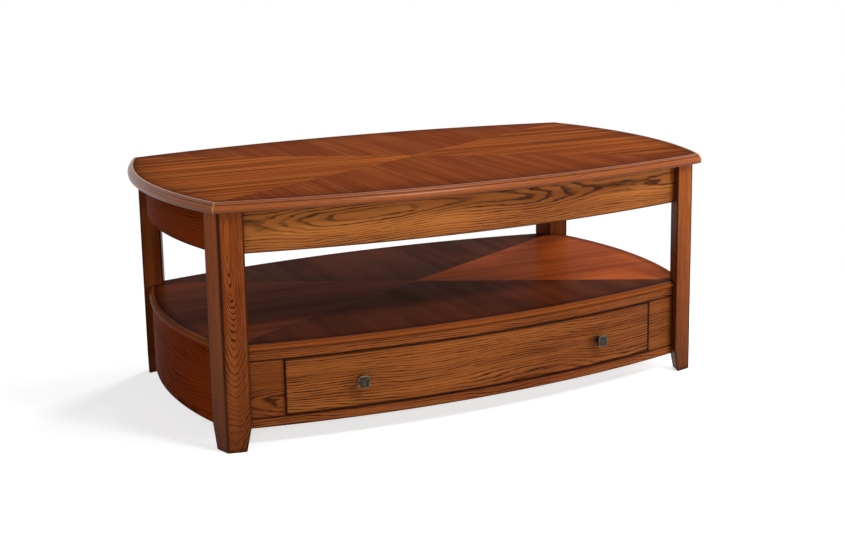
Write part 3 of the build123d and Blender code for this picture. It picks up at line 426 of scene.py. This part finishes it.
def veneer(name, corner, gold, brown, dark, seam, figure, gloss, specular, shaded_end):
    """Four matched quarters read from object coordinates: the seams run from corner to corner, and the grain runs
    to the middle from each side. Each quarter is laid from leaves of equal width with their own tone. The front
    and back quarters are painted deeper and calmer than the end quarters, which stand lighter by a painted sheen
    along their grain. One end quarter, the left where the last argument is below 0 and the right where it is
    above, is painted a shade deeper: painted shade."""
    material, tree = finish_of(name)
    place = tree.nodes.new("ShaderNodeTexCoord").outputs["Object"]
    split = tree.nodes.new("ShaderNodeSeparateXYZ")
    tree.links.new(place, split.inputs[0])
    x, y = split.outputs[0], split.outputs[1]
    far_x, far_y = reckon(tree, "ABSOLUTE", x), reckon(tree, "ABSOLUTE", y)
    slant = reckon(tree, "MULTIPLY", far_x, corner[1])
    slant = reckon(tree, "SUBTRACT", reckon(tree, "MULTIPLY", far_y, corner[0]), slant)
    slant = reckon(tree, "DIVIDE", slant, float(np.hypot(*corner)))
    frontal = reckon(tree, "GREATER_THAN", slant, 0.0)
    swap = shader(tree, "CombineXYZ", {0: y, 1: x})
    straight = shader(tree, "CombineXYZ", {0: x, 1: y})
    grain = shader(tree, "Mix", {0: frontal, 4: straight, 5: swap}, out=1, data_type="VECTOR")
    halves = shader(tree, "Mix", {0: frontal, 2: x, 3: y}, data_type="FLOAT")
    bookmark = reckon(tree, "MULTIPLY_ADD", reckon(tree, "SIGN", halves), 7.3, reckon(tree, "MULTIPLY", frontal, 3.1))
    grain = shader(tree, "VectorMath", {0: grain, 1: shader(tree, "CombineXYZ", {0: bookmark})}, operation="ADD")
    parts = tree.nodes.new("ShaderNodeSeparateXYZ")
    tree.links.new(grain, parts.inputs[0])
    leaves = reckon(tree, "DIVIDE", parts.outputs[1], LEAF_WIDTH)
    leaves = reckon(tree, "ADD", leaves, reckon(tree, "MULTIPLY", bookmark, 5.0))
    leaf_tone = shader(tree, "TexWhiteNoise", {"W": reckon(tree, "FLOOR", leaves)}, noise_dimensions="1D")
    broad = fade(tree, streaks(tree, grain, 0.9, 22.0, 2.0), 0.34, 0.66)
    line = fade(tree, streaks(tree, grain, 1.6, 40 + 90 * figure, figure), 0.36, 0.68)
    pores = fade(tree, streaks(tree, grain, 12.0, 420.0, 1.0), 0.50, 0.70)
    cloud = fade(tree, streaks(tree, grain, 4.0, 6.0, 2.0), 0.35, 0.65)
    # The front and back quarters are painted most of the way to brown: the end quarters stand lighter by a painted
    # sheen along their grain. Cloud and leaf tone are the wood's own.
    tone_and_painted_light = reckon(tree, "MULTIPLY_ADD", frontal, 0.76, reckon(tree, "MULTIPLY", cloud, 0.07))
    tone_and_painted_light = reckon(tree, "MULTIPLY_ADD", leaf_tone, 0.14 * figure, tone_and_painted_light)
    # Painted shade: one end quarter is painted a shade deeper.
    painted_end_shade = reckon(tree, "MAXIMUM", reckon(tree, "MULTIPLY", reckon(tree, "SIGN", x), shaded_end), 0.0)
    tone_and_painted_light = reckon(tree, "MULTIPLY_ADD", painted_end_shade, reckon(tree, "SUBTRACT", 1.0, frontal), tone_and_painted_light)
    lively = reckon(tree, "MULTIPLY_ADD", frontal, -0.5 * figure, figure)
    share = reckon(tree, "MULTIPLY_ADD", reckon(tree, "MULTIPLY", broad, lively), 0.52, tone_and_painted_light)
    colour = wash(tree, reckon(tree, "MINIMUM", share, 1.0), gold, brown)
    lines = reckon(tree, "MULTIPLY", pores, 0.08 * figure)
    lines = reckon(tree, "MULTIPLY_ADD", reckon(tree, "MULTIPLY", line, lively), 0.66, lines)
    colour = wash(tree, lines, colour, dark)
    near = reckon(tree, "ABSOLUTE", slant)
    reach = reckon(tree, "MULTIPLY_ADD", fade(tree, far_x, 0.02, 0.30, 1.0, 0.0), 0.55, 0.06)
    joint = reckon(tree, "MULTIPLY", fade(tree, near, 0.0004, 0.0016, 1.0, 0.0), reach)
    colour = wash(tree, joint, colour, seam)
    glazed = shader(tree, "Attribute", {}, out=2, attribute_name="glaze")
    colour = wash(tree, reckon(tree, "MULTIPLY", glazed, 0.75), colour, stain(40, 17, 10))
    rough = reckon(tree, "MULTIPLY_ADD", broad, 0.06, gloss)
    lacquer(tree, colour, rough, Specular_IOR_Level=specular)
    return material


def panel(name, outlines, heights, glaze, finish):
    """Flat panel: the same outline at each height, drawn in by the last loops to carry the burnished margin."""
    rows = np.dstack([outlines, np.broadcast_to(np.array(heights)[:, None], outlines.shape[:2])])
    girth = around(outlines[0])
    return skin(name, rows, np.array(heights)[:, None], girth[None], np.array(glaze)[:, None], 0.0, finish)


def shelf_outline(inset, shrink=0.0, steps=40):
    """Plan loop of the shelf panel: each bow between its two leg faces, then round the inner leg corner."""
    loops = []
    for side in ("right", "back", "left", "front"):
        bow, centre = bow_of(side)
        point, normal = leg_line(side)
        reach = swing_to(side, bow - inset, (point - normal * shrink, normal))
        swing = np.linspace(reach, -reach, steps)
        across, outward = (bow - inset) * np.sin(swing), centre + (bow - inset) * np.cos(swing)
        loops.append(turned(side, across, outward))
        inner = (leg_corner + leg_back * LEG_FRONT + leg_end * LEG_SIDE) - shrink
        sx, sy = {"right": (1, 1), "back": (-1, 1), "left": (-1, -1), "front": (1, -1)}[side]
        loops.append(inner[None] * (sx, sy))
    return np.concatenate(loops)


shelf_inset = SHELF_INSET + SHELF_EDGE_OUT + SHELF_EDGE_FLAT
# The shelf's brown and dark are far deeper than the top's, partly a darker stain and partly painted shade from the top
# above; its left quarter is painted deeper still, painted shade.
shelf_veneer = veneer("shelf_veneer", bow_corner(shelf_inset), gold=stain(170, 82, 41), brown=stain(48, 28, 23),
                      dark=stain(38, 22, 19), seam=stain(150, 88, 50), figure=0.25, gloss=0.285, specular=0.0014,
                      shaded_end=-0.56)
shelf_loops = np.array([shelf_outline(shelf_inset + drawn, drawn) for drawn in (0.0, 0.0, 0.004, 0.022)])
shelf = panel("shelf_board", shelf_loops, (SHELF_BOTTOM, *[SHELF_TOP] * 3), (1, 1, 0.75, 0), shelf_veneer)
put_together(shelf, "frame", "shelf_panel")

moulding_oak, shelf_edge_oak = (
    oak(name, off=0.050, depth=0.030, swing=0.020, pace=1.2, ring=0.0034, gold=stain(172, 96, 50),
        brown=stain(146, 78, 40), dark=stain(72, 38, 22), specular=specular, gloss=0.28)
    for name, specular in (("moulding_oak", 0.17), ("shelf_edge_oak", 0.003)))
for number, side in enumerate(SIDES):
    section, mark = bead_and_ovolo(SHELF_INSET, SHELF_TOP, SHELF_TOP - SHELF_BOTTOM, SHELF_EDGE_OUT, SHELF_EDGE_FLAT,
                                   SHELF_NOSE, SHELF_BEAD, SHELF_QUIRK)
    strip = bowed(f"shelf_strip_{side}", side, section, np.maximum(mark, 0.22), None, leg_line(side),
                  seed=20 + 3.3 * number, figure=0.15, finish=shelf_edge_oak)
    put_together(strip, "frame", f"shelf_edge_{side}")

# Lower case: bowed boards at the back and ends, a rail above and below the drawer, and a stile at each end of it,
# all tenoned into the legs. The bottom panel and the two runner panels are plywood.
CASE_BOTTOM, OPENING_BOTTOM, OPENING_TOP, OPENING_X = 0.0385, 0.0575, 0.1705, 0.41546
RAIL_EASE = 0.0008
for number, side in enumerate(("back", "left", "right")):
    section, mark = plank(FRAME_INSET, BOARD, CASE_BOTTOM, SHELF_BOTTOM)
    board = bowed(f"case_board_{side}", side, section, mark, None, leg_line(side),
                  seed=40 + 3.1 * number, figure=0.6, finish=plain_oak)
    put_together(board, "frame", f"case_{side}")
straight_oak = oak("straight_oak", off=0.080, depth=0.030, swing=0.030, pace=1.4, ring=0.0052,
                   gold=stain(150, 84, 42), brown=stain(112, 57, 28), dark=stain(42, 23, 15))
case_oak = oak("case_oak", off=0.075, depth=0.030, swing=0.050, pace=1.5, ring=0.0050,
               gold=stain(152, 87, 42), brown=stain(108, 56, 27), dark=stain(44, 25, 15))
for name, bottom, top, seed in (
    ("upper", OPENING_TOP, SHELF_BOTTOM, 53.2), ("lower", CASE_BOTTOM, OPENING_BOTTOM, 57.9)):
    section, mark = plank(FRAME_INSET, BOARD, bottom, top, RAIL_EASE)
    rail = bowed(f"front_rail_{name}", "front", section, mark, None, leg_line("front"),
                 seed=seed, figure=0.9, finish=straight_oak)
    put_together(rail, "frame", f"rail_{name}")
stile_oak = oak("stile_oak", off=0.030, depth=0.036, swing=0.034, pace=1.3, ring=0.0040,
                gold=stain(150, 83, 39), brown=stain(104, 52, 25), dark=stain(44, 25, 15))
opening_line = (np.array([OPENING_X, 0.0]), np.array([1.0, 0.0]))
for hand, seed, mirrored, finish in (("left", 62.3, False, stile_oak), ("right", 64.8, True, case_oak)):
    section, mark = plank(FRAME_INSET, BOARD, OPENING_BOTTOM, OPENING_TOP, RAIL_EASE)
    stile = bowed(f"front_stile_{hand}", "front", section, mark, opening_line, leg_line("front"),
                  seed=seed, figure=0.9, finish=finish, steps=24, mirrored=mirrored)
    put_together(stile, "frame", f"stile_{hand}")
coat(lining, "case_bottom", "runner_panel_left", "runner_panel_right")

# Drawer: an oak front bent to the bow and screwed to a box of pale plywood, with a bottom set between its sides.
# The front is stained and glazed like the case, and its box is only sealed.
DRAWER_BOTTOM, DRAWER_TOP, DRAWER_X, DRAWER_EASE = 0.0595, 0.1685, 0.41346, 0.0015
section, mark = plank(FRAME_INSET, BOARD, DRAWER_BOTTOM, DRAWER_TOP, DRAWER_EASE)
drawer_line = (np.array([DRAWER_X, 0.0]), np.array([1.0, 0.0]))
front = bowed("drawer_face", "front", section, mark, None, drawer_line,
              seed=71.3, figure=1.0, finish=case_oak, steps=80)
put_together(front, "drawer", "drawer_front")
pale_birch, deep_birch = stain(205, 172, 128), stain(178, 140, 96)
birch = plywood("drawer_birch", pale_birch, deep_birch, (True, False, False))
coat(birch, "drawer_back", "drawer_bottom")
birch_sides = plywood("drawer_birch_sides", pale_birch, deep_birch, (False, True, False))
coat(birch_sides, "drawer_side_left", "drawer_side_right")

# Knobs: cast square heads on round necks, in hammered dark bronze that is rubbed bright along the rims. Each is
# screwed through the drawer front, square to the bow.
KNOB_X, KNOB_HEIGHT = 0.26846, 0.114
bronze, tree = finish_of("dark_bronze")
place = tree.nodes.new("ShaderNodeTexCoord").outputs["Object"]
dents = shader(tree, "TexVoronoi", {"Vector": place, "Scale": 420.0}, feature="SMOOTH_F1")
tarnish = shader(tree, "TexNoise", {"Vector": place, "Scale": 160.0, "Detail": 3.0})
rubbed = shader(tree, "Attribute", {}, out=2, attribute_name="glaze")
rubbed = reckon(tree, "MULTIPLY", rubbed, fade(tree, tarnish, 0.3, 0.6))
colour = wash(tree, fade(tree, tarnish, 0.35, 0.7), stain(52, 46, 40), stain(76, 66, 55))
colour = wash(tree, rubbed, colour, stain(136, 121, 100))
lacquer(tree, colour, fade(tree, tarnish, 0.3, 0.7, 0.34, 0.52), dents, 0.0006, Metallic=0.9)

# Rows of the knob, from the drawer front outwards, as (distance from it, half width, squareness). A row is the
# curve on which the two half-width shares, each to the power of the squareness, add up to 1: round at 2.
knob_rows = np.array([
    (0.0, 0.0080, 2), (0.0010, 0.0080, 2), (0.0018, 0.0074, 2), (0.0030, 0.0066, 2), (0.0075, 0.0060, 2),
    (0.0122, 0.0060, 2), (0.0129, 0.0072, 3), (0.0132, 0.0094, 5), (0.0138, 0.0101, 6), (0.0165, 0.0108, 6),
    (0.0198, 0.0116, 6), (0.0206, 0.0119, 6), (0.0211, 0.0119, 6), (0.0215, 0.0116, 6), (0.0222, 0.0101, 6),
    (0.0227, 0.0087, 5), (0.0229, 0.0070, 5), (0.0230, 0.0040, 4), (0.0230, 0.0012, 3)])
rim = np.array([0, 0, 0, 0, 0, 0, 0, 0, 0.2, 0, 0.1, 0.9, 1, 0.8, 0.1, 0, 0, 0, 0])
turn = np.linspace(0, 2 * np.pi, 64, endpoint=False)
depth, half, power = (knob_rows[:, column, None] for column in range(3))
wide = half / (abs(np.cos(turn)) ** power + abs(np.sin(turn)) ** power) ** (1 / power)
aside, up = wide * np.cos(turn), wide * np.sin(turn)
for hand, sx in (("left", -1), ("right", 1)):
    lean = np.arcsin(sx * KNOB_X / (FRONT_BOW - FRAME_INSET))
    reach = FRONT_BOW - FRAME_INSET + depth
    centre_y = TOP_WIDTH / 2 - FRONT_BOW
    x = reach * np.sin(lean) + aside * np.cos(lean)
    y = -(centre_y + reach * np.cos(lean)) + aside * np.sin(lean)
    rows = np.dstack([x, y, KNOB_HEIGHT + up])
    knob = skin(f"square_knob_{hand}", rows, depth, np.r_[turn, 2 * np.pi][None], rim[:, None], 0.0, bronze, 50)
    put_together(knob, "drawer", f"knob_{hand}")

# Drawer slides: three folded channels a side in bright zinc-plated steel, one inside the other. The outer one is
# fixed to the case's runner panel and the inner one to the drawer.
zinc, tree = finish_of("zinc_plate")
place = tree.nodes.new("ShaderNodeTexCoord").outputs["Object"]
drawn = shader(tree, "VectorMath", {0: place, 1: (900.0, 6.0, 900.0)}, operation="MULTIPLY")
drawn = shader(tree, "TexNoise", {"Vector": drawn, "Scale": 1.0, "Detail": 2.0})
bloom = shader(tree, "TexNoise", {"Vector": place, "Scale": 60.0, "Detail": 3.0})
colour = wash(tree, fade(tree, bloom, 0.35, 0.65), stain(186, 190, 194), stain(160, 163, 166))
lacquer(tree, colour, fade(tree, drawn, 0.3, 0.7, 0.28, 0.42), drawn, 0.00004, Metallic=1.0)
coat(zinc, *[f"slide_{member}_{hand}" for member in ("case", "middle", "drawer") for hand in ("left", "right")])

# Lift linkage: pressed steel plates and arms with a black powder coat, riveted pivots, and a cross bar that keeps
# the two sides together.
black, tree = finish_of("black_powder_coat")
place = tree.nodes.new("ShaderNodeTexCoord").outputs["Object"]
peel = shader(tree, "TexNoise", {"Vector": place, "Scale": 700.0, "Detail": 2.0})
dust = shader(tree, "TexNoise", {"Vector": place, "Scale": 30.0, "Detail": 3.0})
colour = wash(tree, fade(tree, dust, 0.35, 0.7), stain(38, 38, 40), stain(56, 56, 58))
lacquer(tree, colour, fade(tree, dust, 0.3, 0.7, 0.42, 0.56), peel, 0.0001)
coat(black, "sync_bar", *[f"{part}_{hand}" for part in ("lift_base", "front_arm", "rear_arm", "lift_hanger")
                          for hand in ("left", "right")])
coat(zinc, "lower_pins", "upper_pins")

# Lift springs: close-wound zinc-plated wire with a long open eye over the post at each end. They pull the arms up
# and shorten as the top rises, and the eyes are long enough to clear the posts then too.
SPRING_X, SPRING_Z = 0.40976, 0.440143
SPRING_FRONT, SPRING_BACK, SPRING_RADIUS, HOOK, POST = -0.262197, -0.154446, 0.006, 0.009, 0.003
CRANK_RUN = 0.0217514  # from the front arm's pivot to its spring post, along Y
WIRE, WIRE_STEP, EYE_PLAY, COILS, EYE_STEPS = 0.0009, 0.002, 0.0003, 34, 26


def wire_along(path, radius, sides=8):
    """Round wire along a path: rings of points set out from each path point across its direction of travel. Two
    directions that stay square to it are carried by crossing the tangent with a slanted fixed one."""
    tangent = np.gradient(path, axis=0)
    tangent /= np.linalg.norm(tangent, axis=1, keepdims=True)
    first = np.cross(tangent, np.array([0.31, 0.11, 0.94]))
    first /= np.linalg.norm(first, axis=1, keepdims=True)
    second = np.cross(tangent, first)
    turn = np.linspace(0, 2 * np.pi, sides, endpoint=False)
    ring = np.cos(turn)[None, :, None] * first[:, None] + np.sin(turn)[None, :, None] * second[:, None]
    return path[:, None] + radius * ring


shortened = 1 - 2 * CRANK_RUN / (SPRING_BACK - SPRING_FRONT)
coil_radius, eye_height = SPRING_RADIUS - WIRE, POST + WIRE + EYE_PLAY
eye_length = eye_height / shortened
coil_front, coil_back = SPRING_FRONT + HOOK, SPRING_BACK - HOOK
wind = np.linspace(0, 2 * np.pi * COILS, COILS * 20)
coil_run = coil_front + (coil_back - coil_front) * wind / wind[-1]
coil = np.c_[coil_radius * np.sin(wind), coil_run, coil_radius * np.cos(wind)]
bend = np.linspace(0.35 * np.pi, 1.9 * np.pi, EYE_STEPS)
hook = np.c_[np.zeros(EYE_STEPS), SPRING_FRONT + eye_length * np.cos(bend), -eye_height * np.sin(bend)]
tail = np.c_[np.zeros(EYE_STEPS), SPRING_BACK - eye_length * np.cos(bend), -eye_height * np.sin(bend)]
spring_path = np.concatenate([hook, coil, tail[::-1]])
for hand, sx in (("left", -1), ("right", 1)):
    path = spring_path + (sx * SPRING_X, 0, SPRING_Z)
    rows = wire_along(path, WIRE)
    along, across = np.arange(len(rows))[:, None] * WIRE_STEP, np.linspace(0, 2 * np.pi * WIRE, 9)[None]
    spring = skin(f"coil_spring_{hand}", rows, along, across, 0.0, 0.0, zinc, 60)
    put_together(spring, "frame", f"lift_spring_{hand}")
    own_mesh(spring)

# Top: a panel veneered in four matched quarters inside four mitred oak strips with a bead and an ovolo. Dark
# glaze is burnished along the margin and in the quirks, and the face is rubbed down until it hardly shines. The
# mitres are painted pale, a painted highlight on the corners.
TOP_UNDERSIDE, TOP_FACE = 0.463, 0.483
TOP_EDGE_OUT, TOP_EDGE_FLAT, CORNER_ROUND = 0.008, 0.004, 0.0018
TOP_NOSE, TOP_BEAD, TOP_QUIRK = 0.013, 0.0036, 0.0009
# Painted highlight: the mitred ends of the top's strips are painted pale.
PAINTED_MITRE_HIGHLIGHT = -0.35


def top_outline(inset, steps=72):
    """Plan loop of the four bows, all moved in by inset, from corner to corner."""
    loops = []
    for side in ("right", "back", "left", "front"):
        bow, centre = bow_of(side)
        corner = bow_corner(inset)
        reach = np.arcsin((corner[0] if SIDES[side][1] else corner[1]) / (bow - inset))
        swing = np.linspace(reach, -reach, steps, endpoint=False)
        loops.append(turned(side, (bow - inset) * np.sin(swing), centre + (bow - inset) * np.cos(swing)))
    return np.concatenate(loops)


top_inset = TOP_EDGE_OUT + TOP_EDGE_FLAT
# The top's right quarter is painted a shade deeper: painted shade.
top_veneer = veneer("top_veneer", bow_corner(top_inset), gold=stain(184, 99, 42), brown=stain(126, 62, 32),
                    dark=stain(54, 26, 15), seam=stain(190, 118, 62), figure=1.0, gloss=0.34, specular=0.0003,
                    shaded_end=0.22)
top_loops = np.array([top_outline(top_inset + drawn) for drawn in (0.0, 0.0, 0.003, 0.018, 0.075)])
top = panel("top_board", top_loops, (TOP_UNDERSIDE, *[TOP_FACE] * 4), (1, 1, 0.8, 0.35, 0), top_veneer)
put_together(top, "top", "top_panel")

# Each strip ends on the mitre from the outer corner to the panel's. Its pointed corner is then blunted: a point some
# way short of the corner, along the mitre, goes back to the root of that way squared plus the blunt squared.
outer, inner = bow_corner(0.0), bow_corner(top_inset)
for number, side in enumerate(SIDES):
    section, mark = bead_and_ovolo(0.0, TOP_FACE, TOP_FACE - TOP_UNDERSIDE, TOP_EDGE_OUT, TOP_EDGE_FLAT,
                                   TOP_NOSE, TOP_BEAD, TOP_QUIRK)
    point, run = (outer, outer - inner) if SIDES[side][1] else (outer[::-1], (outer - inner)[::-1])
    normal = np.array([run[1], -run[0]])
    strip = bowed(f"top_strip_{side}", side, section, mark, None, (point, normal * np.sign(normal[0])),
                  seed=80 + 3.7 * number, figure=0.45, finish=moulding_oak, steps=120, ends=PAINTED_MITRE_HIGHLIGHT)
    place = np.empty(len(strip.data.vertices) * 3, np.float32)
    strip.data.vertices.foreach_get("co", place)
    place = place.reshape(-1, 3)
    inset = np.tile(section[:, 0], len(place) // len(section))
    corner = bow_corner(inset).T * np.where(place[:, :2] < 0, -1, 1)
    out = (outer - inner) / np.linalg.norm(outer - inner) * np.where(place[:, :2] < 0, -1, 1)
    short = ((place[:, :2] - corner) * out).sum(1)
    blunt = CORNER_ROUND * np.clip(1 - inset / top_inset, 0, 1)
    place[:, :2] -= out * (np.hypot(short, blunt) - abs(short))[:, None]
    strip.data.vertices.foreach_set("co", place.ravel())
    put_together(strip, "top", f"top_edge_{side}")

# Studio: a pale floor that runs out to white, a softbox high at the front, a little to the right, low lights on
# both sides of it, a weak fill at the left, and strong lights far off at the right and behind. The camera sees the
# white, and so do mirrors and glass.
FLOOR_REACH, FLOOR_TONE, FLOOR_LIFT, WHITE_FROM, ALL_WHITE = 60.0, 0.60, 0.68, 0.7, 1.4
ROOM_LEVEL, LAMPS_AROUND = 0.09, 0.3
WHITE = (1.0, 1.0, 1.0, 1.0)
floor_mesh = bpy.data.meshes.new("studio_floor")
span = np.array([(-1, -1, 0), (1, -1, 0), (1, 1, 0), (-1, 1, 0)]) * FLOOR_REACH
floor_mesh.from_pydata(span.tolist(), [], [(0, 1, 2, 3)])
pale, tree = finish_of("pale_floor")
place = tree.nodes.new("ShaderNodeTexCoord").outputs["Object"]
away = shader(tree, "VectorMath", {0: place}, out=1, operation="LENGTH")
path = tree.nodes.new("ShaderNodeLightPath").outputs
seen = reckon(tree, "MAXIMUM", path["Is Camera Ray"], path["Is Glossy Ray"])
seen = reckon(tree, "MAXIMUM", seen, path["Is Transmission Ray"])
matt = shader(tree, "BsdfDiffuse", {"Color": (FLOOR_TONE, FLOOR_TONE, FLOOR_TONE, 1.0)})
lift = shader(tree, "Emission", {"Color": WHITE, "Strength": reckon(tree, "MULTIPLY", seen, FLOOR_LIFT)})
near = shader(tree, "AddShader", {0: matt, 1: lift})
white = shader(tree, "Emission", {"Color": WHITE, "Strength": 1.0})
run_out = reckon(tree, "MULTIPLY", seen, fade(tree, away, WHITE_FROM, ALL_WHITE))
floor = shader(tree, "MixShader", {0: run_out, 1: near, 2: white})
tree.links.new(floor, tree.nodes.new("ShaderNodeOutputMaterial").inputs[0])
floor_mesh.materials.append(pale)
studio_floor = bpy.data.objects.new("studio_floor", floor_mesh)
bpy.context.scene.collection.objects.link(studio_floor)

world = bpy.data.worlds.new("studio")
world.use_nodes = True
tree = world.node_tree
tree.nodes.clear()
path = tree.nodes.new("ShaderNodeLightPath").outputs
backdrop = reckon(tree, "MAXIMUM", path["Is Camera Ray"], path["Is Glossy Ray"])
backdrop = reckon(tree, "MAXIMUM", backdrop, path["Is Transmission Ray"])
dim = shader(tree, "Background", {"Color": (1.0, 0.98, 0.96, 1.0), "Strength": ROOM_LEVEL})
white = shader(tree, "Background", {"Color": WHITE, "Strength": 1.0})
studio = shader(tree, "MixShader", {0: backdrop, 1: dim, 2: white})
tree.links.new(studio, tree.nodes.new("ShaderNodeOutputWorld").inputs[0])
bpy.context.scene.world = world


def facing(back, roll=0.0):
    """Turn that points an object's -Z against a direction, with its X level and then rolled."""
    back = np.array(back) / np.linalg.norm(back)
    right = np.cross((0, 0, 1), back)
    right /= np.linalg.norm(right)
    up = np.cross(back, right)
    right, up = right * np.cos(roll) + up * np.sin(roll), up * np.cos(roll) - right * np.sin(roll)
    return np.c_[right, up, back]


def set_down(name, data, place, turn):
    """Links a light or the camera at a place, with a turn given as three columns."""
    thing = bpy.data.objects.new(name, data)
    bpy.context.scene.collection.objects.link(thing)
    matrix = np.eye(4)
    matrix[:3, :3], matrix[:3, 3] = turn, place
    thing.matrix_world = matrix.T.tolist()
    return thing


def aim(azimuth, elevation):
    """Unit direction from the table: azimuth 0 is the front and 90 the right."""
    azimuth, elevation = np.radians([azimuth, elevation])
    return np.array([np.sin(azimuth) * np.cos(elevation), -np.cos(azimuth) * np.cos(elevation), np.sin(elevation)])


for name, azimuth, elevation, distance, size, watts, mirrored in (
    ("key_softbox", 19, 43, 3.2, 0.6, 50, True),
    ("front_light", 36, 10, 3.4, 0.5, 34, False),
    ("left_front_light", -32, 8, 3.4, 1.0, 20, False),
    ("left_fill", -80, 30, 3.2, 1.8, 13, False),
    ("right_light", 92, 17, 5.0, 1.8, 200, False),
    ("back_light", 132, 24, 5.0, 1.8, 175, False)):
    lamp = bpy.data.lights.new(name, "AREA")
    lamp.shape, lamp.size, lamp.energy = "DISK", size, watts
    toward = aim(azimuth, elevation)
    lamp = set_down(name, lamp, toward * distance + (0, 0, LAMPS_AROUND), facing(toward))
    lamp.visible_glossy = mirrored

# Camera: where the photograph was taken from, by the fit of the table's corners and edges to it. The lens is shifted
# only as far as the photograph's own framing asks for.
IMAGE_WIDTH, IMAGE_HEIGHT = 845, 550
FOCAL_PIXELS, CENTRE_U, CENTRE_V = 1327.9, 440.0, 190.0
VIEW_AZIMUTH, VIEW_ELEVATION, VIEW_ROLL = -26.116, 10.570, -0.871
VIEW_CENTRE, VIEW_DISTANCE = np.array([0.06394, 0, 0.40059]), 2.93361
camera = bpy.data.cameras.new("camera")
camera.sensor_fit, camera.sensor_width = "HORIZONTAL", 36.0
camera.lens = FOCAL_PIXELS * camera.sensor_width / IMAGE_WIDTH
camera.shift_x = -(CENTRE_U - IMAGE_WIDTH / 2) / IMAGE_WIDTH
camera.shift_y = (CENTRE_V - IMAGE_HEIGHT / 2) / IMAGE_WIDTH
view_from = aim(VIEW_AZIMUTH, VIEW_ELEVATION)
bpy.context.scene.camera = set_down("camera", camera, VIEW_CENTRE + VIEW_DISTANCE * view_from,
                                    facing(view_from, np.radians(VIEW_ROLL)))
bpy.context.scene.view_settings.view_transform = "Standard"
